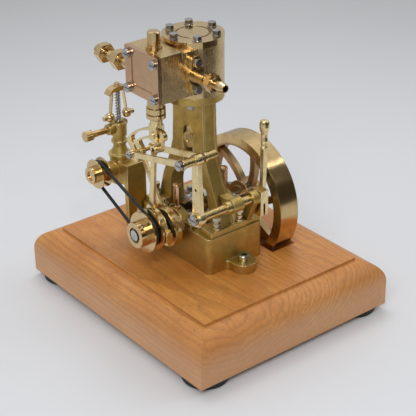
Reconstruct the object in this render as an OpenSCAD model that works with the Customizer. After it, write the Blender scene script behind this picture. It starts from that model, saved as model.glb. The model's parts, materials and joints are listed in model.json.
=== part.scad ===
// Model steam engine: single vertical cylinder, link reversing gear, belt-driven governor,
// mounted on a wooden board. Millimetres, +Z up, origin under the middle of the rubber feet.
// The crankshaft runs along X, so every lever, rod and link of the motion swings in a YZ plane.

/* [Board] */
// Width of the wooden board, along X
board_w = 125; // [120:1:135]
// Length of the wooden board, along Y
board_l = 150; // [144:1:165]
// Height of the square-sided lower part of the board
board_side_h = 13.6; // [13:0.1:16]
// Radius of the rounded shoulder around the raised centre
board_round_r = 12; // [10:0.5:12]
// Height of the raised centre above the shoulder
board_step_h = 1.5; // [1:0.1:2.5]
// Height of the rubber feet
foot_h = 3.5; // [3:0.1:5]

/* [Bed] */
// Height of the crankshaft above the board
crank_h = 20.4; // [20.4:0.1:21]
// Length of the bedplate, along Y
bed_l = 58; // [58:0.5:60]
// Height of the bolt lugs
lug_h = 5; // [4:0.5:6]

/* [Flywheel] */
// Outer radius of the flywheel
flywheel_r = 35; // [33:0.5:36]
// Width of the flywheel rim, along X
flywheel_w = 11.9; // [10:0.1:12.5]
// Number of curved spokes
spoke_count = 6; // [5:1:8]
// Width of a spoke
spoke_w = 3.8; // [3.2:0.1:4.6]

/* [Cylinder] */
// Outer radius of the cylinder
cylinder_r = 15.5; // [15.3:0.1:16]
// Bore radius of the cylinder
bore_r = 9; // [8:0.1:9.5]
// Thickness of the cylinder cover
cover_h = 3.3; // [2.5:0.1:4]
// Number of cover bolts
cover_bolt_count = 6; // [6:2:8]

/* [Governor] */
// Radius of the governor weights
weight_r = 2.6; // [2.2:0.1:2.8]
// Turns in the governor's coil spring
coil_turns = 10; // [7:1:12]

/* [Hidden] */
$fn = 48;

BRASS = [0.80, 0.64, 0.32];
CAST = [0.66, 0.54, 0.27];
STEEL = [0.62, 0.62, 0.62];
BRONZE = [0.55, 0.38, 0.18];
WOOD = [0.78, 0.50, 0.29];
RUBBER = [0.06, 0.06, 0.06];

run = 0.05;    // radial clearance of a running fit
seat = 0.01;   // radial clearance of a seated part
gap = 0.02;    // gap between faces that are bolted together
bite = 0.01;   // overlap that joins two shapes of one casting
bolt_r = 1.1;  // shank radius of the hex bolts
head_r = 2.2;  // radius over the corners of the hex bolts' heads
stud_r = 1.2;  // shank radius of the studs and the chest's screws

board_h = board_side_h + board_round_r + board_step_h;
deck_z = foot_h + board_h;
crank_z = deck_z + crank_h;

// Bedplate and main bearings, along X
bed_x0 = -20.6;
bed_x1 = 15.4;
bed_wall = 5;
pit_half = 15.5;
pit_floor = 3;
corner_r = 3;
lug_x = -1.5;
lug_y = bed_l / 2 + 5;
lug_r = 6.7;
shaft_r = 3;
bush_r = 5;
cap_hump_r = 7;
cap_half = 14;
cap_flange_h = 3;
cap_stud_y = 11;

// Crank and connecting rod
throw = 7;
rod_l = 36.5;
pin_top = throw + rod_l;
big_end_half = 6.5;
big_end_h = 5;
cyl_x = -6.1;

// Column
col_x0 = -10.4;
col_x1 = -1.8;
wall = 1.3;
col_top = 67;
flange_h = 4;
arch_r = 16;
arch_z = 12;
slot_half = 4.25;
slot_top = 47.25;

// Cylinder and steam chest
barrel_z0 = col_top + flange_h;
barrel_z1 = 97.1;
chest_x0 = -38;
cover_x = -35.5;
port_x = -23;
chest_half = 13.5;
chest_z0 = 74;
chest_z1 = 98;
valve_x = -30;
valve_z = 86;
spindle_r = 1.2;
piston_rod_r = 1.6;
bolt_circle_r = 12.3;
rod_gland_r = 2.8;
valve_gland_r = 3;
pipe_bore_r = 1.5;

// Reversing gear, in the YZ plane
ecc = 2.2;
sheave_r = 7;
liner_r = 8;
strap_r = 10.4;
strap_w = 4;
ahead_x = -34.4;
astern_x = -28.8;
ahead_c = [2.2, -0.4];
astern_c = [-2.2, -0.4];
link_r = 35;
die_a = 7.7;
die_p = [0, 52.4];
link_c = die_p - link_r * [sin(die_a), cos(die_a)];
slot_w = 1.7;
band_w = 2.8;
link_x0 = -31.2;
link_t = 2.4;
shaft_p = [-30, 15.8];
lift_p = [-29.5, 48.3];
weighshaft_r = 2.4;
weighshaft_x0 = -30.2;
lift_pin_x0 = -38;
lift_pin_x1 = -16.4;
lift_collar_r = 2.3;
lift_pin_r = 1.7;
pin_r = 1;
arm_x = -29;
arm_t = 2.4;
front_drag_x = -37.5;
rear_drag_x = -24.2;
drag_t = 1.3;

// Governor and belt
gov_x = -24;
gov_y = 42.3;
gov_pulley_z = 17.1;
belt_x = -37.8;
belt_r = 0.9;
crank_belt_r = 8.4;
gov_belt_r = 6.4;
knob_z = 40.2;
weight_z = 46.8;
weight_off = 5.4;
gov_spindle_r = 0.8;
gov_shaft_r = 1.6;

function polar(a, r) = link_c + r * [sin(a), cos(a)];
ahead_p = polar(4.5, 27.9);
astern_p = polar(56.3, 26.7);
drag_p = polar(40.6, 27.5);

// Lifts what is drawn around the crankshaft's axis to its place above the board
module engine() {
    translate([0, 0, crank_z]) children();
}

// Extrudes an outline drawn in Y and Z along X, starting at x0
module plate_x(x0, len) {
    translate([x0, 0, 0]) rotate([90, 0, 90]) linear_extrude(len) children();
}

module rod_x(x0, x1, r) {
    translate([x0, 0, 0]) rotate([0, 90, 0]) cylinder(h = x1 - x0, r = r);
}

module rod_y(y0, y1, r) {
    translate([0, y0, 0]) rotate([-90, 0, 0]) cylinder(h = y1 - y0, r = r);
}

module rod_z(z0, z1, r) {
    translate([0, 0, z0]) cylinder(h = z1 - z0, r = r);
}

module hex_x(x0, x1, r) {
    translate([x0, 0, 0]) rotate([0, 90, 0]) cylinder(h = x1 - x0, r = r, $fn = 6);
}

module hex_y(y0, y1, r) {
    translate([0, y0, 0]) rotate([-90, 0, 0]) cylinder(h = y1 - y0, r = r, $fn = 6);
}

module hex_z(z0, z1, r) {
    translate([0, 0, z0]) cylinder(h = z1 - z0, r = r, $fn = 6);
}

module at_yz(p) {
    translate([0, p[0], p[1]]) children();
}

// Flat bar with round ends between two points
module bar(p, q, w) {
    d = q - p;
    translate(p) circle(w / 2);
    translate(q) circle(w / 2);
    translate(p) rotate(atan2(d[1], d[0])) translate([0, -w / 2]) square([norm(d), w]);
}

// Flat bar that narrows from w0 at p to w1 at q
module taper(p, q, w0, w1) {
    d = q - p;
    l = norm(d);
    translate(p) rotate(atan2(d[1], d[0])) polygon([[0, -w0 / 2], [l, -w1 / 2], [l, w1 / 2], [0, w0 / 2]]);
}

// Part of a ring around the origin, from angle a0 to a1, measured from +Z towards +Y
module ring_sector(r0, r1, a0, a1) {
    far = 2 * r1;
    intersection() {
        difference() {
            circle(r1, $fn = 96);
            circle(r0, $fn = 96);
        }
        polygon([[0, 0], far * [sin(a0), cos(a0)], far * [sin((a0 + a1) / 2), cos((a0 + a1) / 2)],
            far * [sin(a1), cos(a1)]]);
    }
}

// Board -----------------------------------------------------------------------------------

module board_outline(width) {
    half = width / 2;
    translate([-half, 0]) square([width, board_side_h]);
    translate([board_round_r - half, 0]) square([width - 2 * board_round_r, board_side_h + board_round_r]);
    for (s = [-1, 1])
        translate([s * (half - board_round_r), board_side_h]) circle(board_round_r, $fn = 96);
}

module base_board() {
    pocket_x0 = flywheel_x0 - 2;
    pocket_w = flywheel_w + 4;
    pocket_half = 31;
    pocket_floor = board_h + crank_h - flywheel_r - 2.4;
    color(WOOD) translate([0, 0, foot_h]) difference() {
        union() {
            intersection() {
                translate([-board_w / 2, 0, 0]) rotate([90, 0, 90])
                    linear_extrude(board_w) board_outline(board_l);
                translate([0, board_l / 2, 0]) rotate([90, 0, 0])
                    linear_extrude(board_l) board_outline(board_w);
            }
            translate([board_round_r - board_w / 2, board_round_r - board_l / 2, board_side_h])
                cube([board_w - 2 * board_round_r, board_l - 2 * board_round_r, board_h - board_side_h]);
        }
        translate([pocket_x0, -pocket_half, pocket_floor]) cube([pocket_w, 2 * pocket_half, board_h]);
        for (s = [-1, 1])
            translate([lug_x, s * lug_y, board_h - 12]) cylinder(h = 13, r = 1.6);
    }
}

foot_inset = 12;
foot_r = 11.8;

module rubber_feet() {
    edge = 0.8;
    color(RUBBER) for (sx = [-1, 1], sy = [-1, 1])
        translate([sx * (board_w / 2 - foot_inset), sy * (board_l / 2 - foot_inset), 0]) difference() {
            union() {
                cylinder(h = edge, r1 = foot_r - edge, r2 = foot_r);
                translate([0, 0, edge]) cylinder(h = foot_h - edge - gap, r = foot_r);
            }
            translate([0, 0, -1]) cylinder(h = 2.6, r = 3.2);
        }
}

// Bed and bearings ------------------------------------------------------------------------

module rounded_rect(x0, x1, half, r) {
    translate([x0 + r, -half]) square([x1 - x0 - 2 * r, 2 * half]);
    translate([x0, r - half]) square([x1 - x0, 2 * (half - r)]);
    for (x = [x0 + r, x1 - r], s = [-1, 1])
        translate([x, s * (half - r)]) circle(r);
}

// Round-ended lug with a hollow fillet on each side where it leaves the bed
module bed_lug(s) {
    fillet = 2.6;
    mirror([0, s < 0 ? 1 : 0, 0]) linear_extrude(lug_h) translate([lug_x, 0]) {
        translate([0, lug_y]) circle(lug_r);
        translate([-lug_r, bed_l / 2 - 0.5]) square([2 * lug_r, lug_y - bed_l / 2 + 0.5]);
        difference() {
            translate([-lug_r - fillet, bed_l / 2 - 0.5]) square([2 * (lug_r + fillet), fillet + 0.5]);
            for (side = [-1, 1]) translate([side * (lug_r + fillet), bed_l / 2 + fillet]) circle(fillet);
        }
    }
}

module bedplate() {
    end_y = pit_half + 3;
    color(CAST) engine() difference() {
        translate([0, 0, -crank_h]) union() {
            linear_extrude(crank_h) rounded_rect(bed_x0, bed_x1, bed_l / 2, corner_r);
            bed_lug(1);
            bed_lug(-1);
        }
        translate([bed_x0 + bed_wall, -pit_half, pit_floor - crank_h])
            cube([bed_x1 - bed_x0 - 2 * bed_wall, 2 * pit_half, crank_h]);
        for (s = [0, 1]) mirror([0, s, 0])
            translate([bed_x0 + bed_wall, end_y, -crank_h - 1])
                cube([bed_x1 - bed_x0 - 2 * bed_wall, bed_l / 2 - end_y - 3, crank_h - 3]);
        rod_x(bed_x0 - 1, bed_x1 + 1, bush_r + seat);
        for (s = [-1, 1])
            translate([lug_x, s * lug_y, -crank_h - 1]) cylinder(h = lug_h + 2, r = 1.7);
    }
}

module bed_screws() {
    head_z = lug_h - crank_h + gap;
    color(STEEL) engine() for (s = [-1, 1])
        translate([lug_x, s * lug_y, 0]) difference() {
            union() {
                rod_z(head_z, head_z + 2.6, 3);
                translate([0, 0, head_z + 2.6]) cylinder(h = 0.6, r1 = 3, r2 = 2.5);
                rod_z(head_z - lug_h - 9, head_z, 1.5);
            }
            hex_z(head_z + 1.2, head_z + 4, 1.6);
        }
}

// Half-width of the column's outer face at each height above the bed
COLUMN = [[0, 27], [17, 22], [24.5, 18.6], [31.5, 15.6], [39.5, 13.2], [52, 12.5], [col_top, 12.2]];

function mirrored(pts) = [for (i = [len(pts) - 1:-1:0]) [-pts[i][0], pts[i][1]]];
function column_side(inset) = [for (p = COLUMN) [p[1] - inset, p[0]]];

module column_outline(inset) {
    side = column_side(inset);
    polygon(concat(side, mirrored(side)));
}

module arch_outline() {
    translate([-arch_r, -1]) square([2 * arch_r, arch_z + 1]);
    translate([0, arch_z]) circle(arch_r, $fn = 96);
}

module column_foot(s) {
    foot_x0 = -18;
    foot_w = 23;
    foot_in = 18;
    foot_out = 28.2;
    mirror([0, s < 0 ? 1 : 0, 0]) translate([foot_x0, foot_in, gap]) difference() {
        cube([foot_w, foot_out - foot_in, 3]);
        for (x = column_stud_x)
            translate([x - foot_x0, stud_y - foot_in, -1]) cylinder(h = 5, r = 1.4);
    }
}

column_stud_x = [-12.9, 2.2];
stud_y = 25.6;

module column() {
    inner_x0 = col_x0 + wall;
    inner_w = col_x1 - col_x0 - 2 * wall;
    swing = throw + 3.6;
    rod_room = [20, 50];
    head_room = [49, 66];
    head_room_half = 5.4;
    color(CAST) engine() difference() {
        union() {
            difference() {
                plate_x(col_x0, col_x1 - col_x0) translate([0, gap]) column_outline(0);
                plate_x(inner_x0, inner_w) difference() {
                    translate([0, -1]) square([60, 2 * col_top], center = true);
                    column_outline(0.9);
                }
            }
            translate([cyl_x, 0, col_top - bite]) cylinder(h = flange_h + bite - gap, r = cylinder_r);
            column_foot(1);
            column_foot(-1);
        }
        plate_x(col_x0 - 1, col_x1 - col_x0 + 2) arch_outline();
        plate_x(col_x0 - 1, col_x1 - col_x0 + 2) {
            translate([-slot_half, arch_z]) square([2 * slot_half, slot_top - arch_z]);
            translate([0, slot_top]) circle(slot_half);
        }
        translate([inner_x0, -swing, rod_room[0]])
            cube([inner_w, 2 * swing, rod_room[1] - rod_room[0]]);
        translate([inner_x0, -head_room_half, head_room[0]])
            cube([inner_w, 2 * head_room_half, head_room[1] - head_room[0]]);
        translate([cyl_x, 0, 0]) rod_z(60, 80, piston_rod_r + run);
        translate([cyl_x, 0, 0]) rod_z(60, 69, rod_gland_r + seat);
        for (a = flange_bolt_a)
            translate([cyl_x + bolt_circle_r * cos(a), bolt_circle_r * sin(a), 60]) cylinder(h = 20, r = 1.3);
    }
}

flange_bolt_a = [45, 135, 225, 315];

module turned_stud(z0) {
    rod_z(z0, z0 + 1.2, 2.3);
    rod_z(z0 + 1.2, z0 + 2.6, 1.6);
    rod_z(z0 + 2.6, z0 + 3.6, 2.1);
    rod_z(z0 + 3.6, z0 + 5, 1.6);
    hex_z(z0 + 5, z0 + 7, 2.2);
}

module stud_nuts() {
    foot_top = 3 + 2 * gap;
    cap_x = [bed_x0 + bed_wall / 2, bed_x1 - bed_wall / 2];
    color(STEEL) engine() {
        for (x = column_stud_x, s = [-1, 1])
            translate([x, s * stud_y, 0]) {
                turned_stud(foot_top);
                rod_z(gap, foot_top, 1.3);
            }
        for (x = cap_x, s = [-1, 1])
            translate([x, s * cap_stud_y, 0]) {
                rod_z(gap, 8, stud_r);
                hex_z(foot_top + gap, foot_top + 2.4, 2.3);
            }
        translate([bracket_nut[0], bracket_nut[1], 0]) {
            rod_z(gap, 6, stud_r);
            hex_z(2.4 + 2 * gap, 4.6, 2.3);
        }
    }
}

bracket_nut = [11.2, -19.6];

module main_bush(x0, x1, flange_x0) {
    difference() {
        union() {
            rod_x(x0, x1, bush_r);
            rod_x(flange_x0, flange_x0 + 1, bush_r + 0.8);
        }
        rod_x(x0 - 2, x1 + 2, shaft_r + run);
    }
}

module main_bushes() {
    color(BRONZE) engine() {
        main_bush(bed_x0 - 1 - gap, bed_x0 + bed_wall, bed_x0 - 1 - gap);
        main_bush(bed_x1 - bed_wall, bed_x1 + 1 + gap, bed_x1 + gap);
    }
}

module bearing_cap(x0) {
    difference() {
        plate_x(x0 + 0.1, bed_wall - 0.2) intersection() {
            union() {
                circle(cap_hump_r);
                translate([-cap_half, 0]) square([2 * cap_half, cap_flange_h]);
            }
            translate([-30, gap]) square([60, 30]);
        }
        rod_x(x0 - 1, x0 + bed_wall + 1, bush_r + seat);
        for (s = [-1, 1])
            translate([x0 + bed_wall / 2, s * cap_stud_y, 0]) rod_z(-1, 5, stud_r + seat);
        translate([x0 + bed_wall / 2, 0, 0]) rod_z(4, 8, 0.6);
    }
}

module bearing_caps() {
    color(CAST) engine() {
        bearing_cap(bed_x0);
        bearing_cap(bed_x1 - bed_wall);
    }
}

module oil_cups() {
    base = cap_hump_r + gap;
    cup_r = 2.1;
    cup_h = 13.8;
    color(BRASS) engine() for (x = [bed_x0 + bed_wall / 2, bed_x1 - bed_wall / 2])
        translate([x, 0, base]) rotate_extrude() polygon([
            [0, 0], [1.8, 0], [1.8, 0.8], [1.1, 1.4], [1.1, 2.6], [cup_r, 3.2], [cup_r, cup_h - 1.2],
            [cup_r + 0.2, cup_h - 1], [cup_r + 0.2, cup_h - 0.5], [cup_r - 0.2, cup_h], [0, cup_h + 0.2]
        ]);
}

// Cylinder and steam chest ----------------------------------------------------------------

module cylinder_bolts_at(count, start) {
    for (i = [0:count - 1])
        translate([cyl_x + bolt_circle_r * cos(start + 360 * i / count),
            bolt_circle_r * sin(start + 360 * i / count), 0]) children();
}

module chest_screws_at() {
    for (y = [-10.7, 10.7], z = [chest_z0 + 2.4, chest_z1 - 3.8])
        at_yz([y, z]) children();
}

exhaust_x = -16.6;
exhaust_z = 85;
exhaust_bolt_dz = 7;
exhaust_flange_r = 5;
exhaust_port_r = 2.4;
exhaust_ear_w = 6.2;

// Outline of the exhaust flange, drawn larger by extra for the face it seats on
module exhaust_flange_outline(extra) {
    bar([0, -exhaust_bolt_dz], [0, exhaust_bolt_dz], exhaust_ear_w + 2 * extra);
    circle(exhaust_flange_r + extra);
}

module cylinder_body() {
    floor_h = 3;
    port_half = 5;
    difference() {
        union() {
            translate([cyl_x, 0, 0]) rod_z(barrel_z0, barrel_z1, cylinder_r);
            translate([port_x, -chest_half, chest_z0])
                cube([cyl_x - port_x, 2 * chest_half, barrel_z1 - chest_z0]);
        }
        translate([cyl_x, 0, 0]) rod_z(barrel_z0 + floor_h, barrel_z1 + 1, bore_r);
        translate([cyl_x, 0, 0]) rod_z(barrel_z0 - 1, barrel_z1, piston_rod_r + run);
        cylinder_bolts_at(cover_bolt_count, 2) rod_z(barrel_z1 - 5, barrel_z1 + 1, bolt_r + seat);
        cylinder_bolts_at(4, 45) rod_z(barrel_z0 - 1, barrel_z0 + 4, bolt_r + seat);
        chest_screws_at() rod_x(port_x - 1, port_x + 4, stud_r + seat);
        for (dz = [-5, 0, 5])
            translate([port_x - 1, -port_half, valve_z + dz - 0.8]) cube([3.5, 2 * port_half, 1.6]);
        translate([exhaust_x, -chest_half, exhaust_z]) {
            rotate([90, 0, 0]) linear_extrude(cylinder_r) exhaust_flange_outline(0.2);
            rod_y(-1, 5, exhaust_port_r);
            for (s = [-1, 1]) translate([0, 0, s * exhaust_bolt_dz]) rod_y(-1, 3, bolt_r + seat);
        }
    }
}

module cylinder_node() {
    color(BRASS) engine() cylinder_body();
}

module cylinder_cover() {
    z0 = barrel_z1 + gap;
    color(BRASS) engine() difference() {
        translate([cyl_x, 0, 0]) union() {
            rod_z(z0, z0 + cover_h, cylinder_r + 0.2);
            rod_z(z0 - 1, z0, bore_r - run);
        }
        translate([cyl_x, 0, 0]) difference() {
            rod_z(z0 + cover_h - 0.5, z0 + cover_h + 1, 9);
            rod_z(z0 + cover_h - 1, z0 + cover_h + 2, 8);
        }
        cylinder_bolts_at(cover_bolt_count, 2) rod_z(z0 - 2, z0 + cover_h + 1, bolt_r + seat);
    }
}

module cover_bolts() {
    z0 = barrel_z1 + cover_h + 2 * gap;
    color(STEEL) engine() cylinder_bolts_at(cover_bolt_count, 2) {
        rod_z(z0 - 8, z0, bolt_r);
        rod_z(z0, z0 + 0.4, head_r + 0.2);
        hex_z(z0 + 0.4, z0 + 2.4, head_r);
    }
}

module hex_bolts() {
    flange_y = -chest_half - 2.6 - gap;
    color(STEEL) engine() {
        cylinder_bolts_at(4, 45) {
            hex_z(col_top - 2.1, col_top - gap, head_r);
            rod_z(col_top - gap, col_top + 7, bolt_r);
        }
        for (s = [-1, 1])
            translate([exhaust_x, 0, exhaust_z + s * exhaust_bolt_dz]) {
                hex_y(flange_y - 2, flange_y, 2.3);
                rod_y(flange_y, flange_y + 5, bolt_r);
            }
        for (x = gov_bolt_x)
            translate([x, 0, gov_bolt_z]) {
                hex_y(bed_l / 2 + 3 + 2 * gap, bed_l / 2 + 5, head_r);
                rod_y(bed_l / 2 + gap, bed_l / 2 + 3 + 2 * gap, bolt_r);
            }
    }
}

gov_bolt_x = [-16.5, -10];
gov_bolt_z = -8;

module steam_chest() {
    inner_half = 9;
    inner_z0 = chest_z0 + 4.5;
    inner_z1 = chest_z1 - 4.5;
    color(BRASS) engine() difference() {
        union() {
            translate([cover_x + gap, -chest_half, chest_z0])
                cube([port_x - cover_x - 2 * gap, 2 * chest_half, chest_z1 - chest_z0]);
            translate([valve_x, 0, 0]) rod_z(67.2, chest_z0 + bite, 4.3);
        }
        translate([cover_x - 1, -inner_half, inner_z0])
            cube([port_x - cover_x + 2, 2 * inner_half, inner_z1 - inner_z0]);
        translate([valve_x, 0, 0]) rod_z(60, 110, spindle_r + run);
        translate([valve_x, 0, 0]) rod_z(60, 71, valve_gland_r + seat);
        translate([inlet_x, 0, inlet_z]) rod_y(5, 20, 2.2 + seat);
        chest_screws_at() rod_x(cover_x - 1, port_x + 1, stud_r + seat);
    }
}

module chest_cover() {
    panel_half = 8.4;
    color(BRASS) engine() difference() {
        translate([chest_x0, -chest_half, chest_z0])
            cube([cover_x - chest_x0, 2 * chest_half, chest_z1 - chest_z0]);
        translate([chest_x0 - 1, -panel_half, chest_z0 + 4.6])
            cube([1.5, 2 * panel_half, chest_z1 - chest_z0 - 9.2]);
        chest_screws_at() rod_x(chest_x0 - 1, cover_x + 1, stud_r + seat);
    }
}

module chest_cover_bolts() {
    color(STEEL) engine() chest_screws_at() difference() {
        union() {
            rod_x(chest_x0 - 1.9, chest_x0 - gap, 2.4);
            rod_x(chest_x0 - gap, port_x + 3, stud_r);
        }
        translate([chest_x0 - 2.4, -3, -0.3]) cube([1, 6, 0.6]);
    }
}

module gland_nuts() {
    color(BRASS) engine() {
        translate([valve_x, 0, 0]) difference() {
            union() {
                rod_z(61.6, 63.6, 4.9);
                rod_z(63.6, 64.3, 4.2);
                rod_z(64.3, 67.1, 4.9);
                rod_z(67.1, 70.8, valve_gland_r);
            }
            rod_z(61, 72, spindle_r + run);
        }
        translate([cyl_x, 0, 0]) difference() {
            rod_z(65.2, 68.9, rod_gland_r);
            rod_z(65, 72, piston_rod_r + run);
        }
    }
}

module tail_guide() {
    z0 = chest_z1 + gap;
    color(BRASS) engine() translate([valve_x, 0, 0]) difference() {
        union() {
            rod_z(z0, z0 + 1.4, 4.1);
            rod_z(z0 + 1.4, z0 + 8, 3.25);
            translate([0, 0, z0 + 8]) cylinder(h = 0.6, r1 = 3.25, r2 = 2.7);
        }
        rod_z(z0 - 1, z0 + 7.2, spindle_r + run);
    }
}

module exhaust_pipe() {
    face = -chest_half - gap;
    color(BRASS) engine() translate([exhaust_x, 0, exhaust_z]) difference() {
        union() {
            translate([0, face, 0]) rotate([90, 0, 0]) linear_extrude(2.6) exhaust_flange_outline(0);
            rod_y(-24, face - 2, 3.3);
            rod_y(-33.4, -24, 2.3);
            rod_y(-35, -33.4, 2.7);
            translate([0, -38, 0]) rotate([-90, 0, 0]) cylinder(h = 3, r1 = 1.9, r2 = 2.7);
        }
        rod_y(-39, 0, pipe_bore_r);
        for (s = [-1, 1])
            translate([0, 0, s * exhaust_bolt_dz]) rod_y(-20, 0, bolt_r + seat);
    }
}

inlet_x = -30;
inlet_z = 83;

module inlet_pipe() {
    color(BRASS) engine() translate([inlet_x, 0, inlet_z]) difference() {
        union() {
            rod_y(9.5, chest_half + gap, 2.2);
            rod_y(chest_half + gap, chest_half + 2.4, 4.2);
            rod_y(chest_half + 2.4, 48, 2.6);
            translate([0, 48, 0]) rotate([-90, 0, 0]) cylinder(h = 2, r1 = 2.6, r2 = 2);
        }
        rod_y(9, 51, pipe_bore_r);
    }
}

module union_nut(y0, y1, r, hole) {
    difference() {
        union() {
            hex_y(y0, y1, r);
            rod_y(y0 - 1.2, y1 + 1, r * 0.76);
        }
        rod_y(y0 - 3, y1 + 3, hole + seat);
    }
}

module union_nuts() {
    color(BRASS) engine() {
        translate([exhaust_x, 0, exhaust_z]) union_nut(-30, -26, 4.7, 2.3);
        translate([inlet_x, 0, inlet_z]) {
            union_nut(27.5, 32.5, 5.3, 2.6);
            union_nut(41, 45.5, 5.3, 2.6);
        }
    }
}

module weighshaft_brackets() {
    boss_r = 3.8;
    leg = 22.5;
    color(CAST) engine() difference() {
        union() {
            at_yz(shaft_p) rod_x(-7.4, -0.8, boss_r);
            plate_x(-7.4, 5) polygon([
                [shaft_p[0], 12.4], [-(leg + 0.9), 12.4], [-(leg - 1.05), 19], [shaft_p[0], 19]
            ]);
            at_yz(shaft_p) rod_x(5.6, 9.8, boss_r);
            plate_x(5.6, 3) polygon([[-33, 14], [-27.6, 2], [-20, 2], [-20, 4], [-26.4, 17.4]]);
            translate([5.1, -27.8, gap]) cube([8.9, 12.4, 2.4]);
        }
        at_yz(shaft_p) rod_x(-9, 12, weighshaft_r + run);
        translate([bracket_nut[0], bracket_nut[1], 0]) rod_z(-1, 4, stud_r + seat);
    }
}

// Motion work -----------------------------------------------------------------------------

shaft_x0 = -46.3;
shaft_x1 = 37;
web_x = [-12.1, -2.9];
web_t = 2.8;

module crank_web(x0) {
    plate_x(x0, web_t) {
        translate([-5, 0]) square([10, throw]);
        translate([0, throw]) circle(5);
        intersection() {
            circle(11.5);
            polygon([[0, 6], [-14, -2], [-14, -12], [14, -12], [14, -2]]);
        }
    }
}

module crankshaft() {
    color(STEEL) engine() {
        rod_x(shaft_x0, web_x[0] + bite, shaft_r);
        rod_x(web_x[1] + web_t - bite, shaft_x1, shaft_r);
        crank_web(web_x[0]);
        crank_web(web_x[1]);
        at_yz([0, throw]) rod_x(web_x[0] + 1, web_x[1] + 1, shaft_r);
    }
}

flywheel_x0 = 22.9;

hub_r = 8.5;
hub_half = 5;
spoke_a = 67.2;

// One curved spoke that leaves the hub along the outline's first axis
module spoke() {
    sweep_r = 33;
    intersection() {
        translate([0, -sweep_r]) difference() {
            circle(sweep_r + spoke_w / 2, $fn = 96);
            circle(sweep_r - spoke_w / 2, $fn = 96);
        }
        translate([0, -40]) square([40, 60]);
        circle(flywheel_r - 4);
    }
}

module flywheel() {
    rim_in = flywheel_r - 6;
    mid = flywheel_x0 + flywheel_w / 2;
    spoke_t = 3.4;
    color(BRASS) engine() difference() {
        union() {
            plate_x(flywheel_x0, flywheel_w) difference() {
                circle(flywheel_r, $fn = 96);
                circle(rim_in, $fn = 96);
            }
            plate_x(mid - spoke_t / 2, spoke_t) for (i = [0:spoke_count - 1])
                rotate(spoke_a + 360 * i / spoke_count) spoke();
            rod_x(mid - hub_half, mid + hub_half, hub_r);
            rod_x(mid - hub_half - 1.2, mid + hub_half + 1.2, hub_r - 2.5);
        }
        rod_x(mid - 10, mid + 10, shaft_r + seat);
        at_hub_screw() rod_z(0, hub_r + 1, grub_r + seat);
    }
}

grub_r = 1.2;
hub_screw_a = 30;
pulley_screw_x = -43;

module at_hub_screw() {
    translate([flywheel_x0 + flywheel_w / 2 - hub_half + 2, 0, 0]) rotate([hub_screw_a, 0, 0]) children();
}

module at_pulley_screw() {
    translate([pulley_screw_x, 0, 0]) rotate([hub_screw_a, 0, 0]) children();
}

module grub_screw(top) {
    difference() {
        rod_z(shaft_r + gap, top, grub_r);
        translate([-grub_r - 1, -0.25, top - 0.7]) cube([2 * grub_r + 2, 0.5, 1]);
    }
}

module grub_screws() {
    color(STEEL) engine() {
        at_hub_screw() grub_screw(hub_r + 1.6);
        at_pulley_screw() grub_screw(pulley_hub_r + 0.5);
    }
}

module pulley_wheel(mid, half, rim, floor_r) {
    groove_half = 2.2;
    floor_half = 1;
    translate([mid, 0, 0]) rotate([0, 90, 0]) rotate_extrude() polygon([
        [0, -half], [rim, -half], [rim, -groove_half], [floor_r, -floor_half],
        [floor_r, floor_half], [rim, groove_half], [rim, half], [0, half]
    ]);
}

pulley_hub_r = 6.9;

module crank_pulley() {
    half = 3;
    color(BRASS) engine() difference() {
        union() {
            pulley_wheel(belt_x, half, 11, crank_belt_r - belt_r - 0.2);
            rod_x(-46, belt_x - half + bite, pulley_hub_r);
        }
        rod_x(-50, -30, shaft_r + seat);
        rod_x(-47, -44.8, 4.2);
        at_pulley_screw() rod_z(0, pulley_hub_r + 1, grub_r + seat);
    }
}

module sheave(x0, c) {
    difference() {
        at_yz(c) rod_x(x0, x0 + strap_w, sheave_r);
        rod_x(x0 - 1, x0 + strap_w + 1, shaft_r + seat);
    }
}

module eccentric_sheaves() {
    color(STEEL) engine() {
        sheave(ahead_x, ahead_c);
        sheave(astern_x, astern_c);
    }
}

module liner(x0, c) {
    at_yz(c) difference() {
        rod_x(x0 + 0.1, x0 + strap_w - 0.1, liner_r);
        rod_x(x0 - 1, x0 + strap_w + 1, sheave_r + run);
    }
}

module ahead_liner() {
    color(BRONZE) engine() liner(ahead_x, ahead_c);
}

module astern_liner() {
    color(BRONZE) engine() liner(astern_x, astern_c);
}

ear_half = 13.8;
ear_h = 2.4;
strap_bolt_y = 12.2;
strap_bolt_r = 0.85;

// Draws a strap part upright around the sheave's centre c, then leans it towards the point p
module lean(c, p) {
    d = p - c;
    at_yz(c) rotate([-atan2(d[0], d[1]), 0, 0]) children();
}

module strap_half(x0, upper) {
    difference() {
        plate_x(x0, strap_w) intersection() {
            union() {
                circle(strap_r);
                translate([-ear_half, -ear_h]) square([2 * ear_half, 2 * ear_h]);
            }
            translate([-20, upper ? 0.05 : -20.05]) square([40, 20]);
        }
        rod_x(x0 - 1, x0 + strap_w + 1, liner_r + run);
        for (s = [-1, 1])
            translate([x0 + strap_w / 2, s * strap_bolt_y, 0]) rod_z(-5, 5, strap_bolt_r + seat);
    }
}

module eccentric_rod(x0, rod_x0, c, p) {
    l = norm(p - c);
    rod_t = 1.5;
    eye_r = 2.4;
    eye_bore_r = 1.2;
    shoulder_h = 2.6;
    lean(c, p) {
        strap_half(x0, true);
        difference() {
            plate_x(rod_x0, rod_t) {
                translate([-4, strap_r - 1.2]) square([8, shoulder_h]);
                taper([0, strap_r + 1], [0, l], 3.6, 2.6);
                translate([0, l]) circle(eye_r);
            }
            translate([0, 0, l]) rod_x(rod_x0 - 1, rod_x0 + rod_t + 1, eye_bore_r);
        }
    }
}

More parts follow.
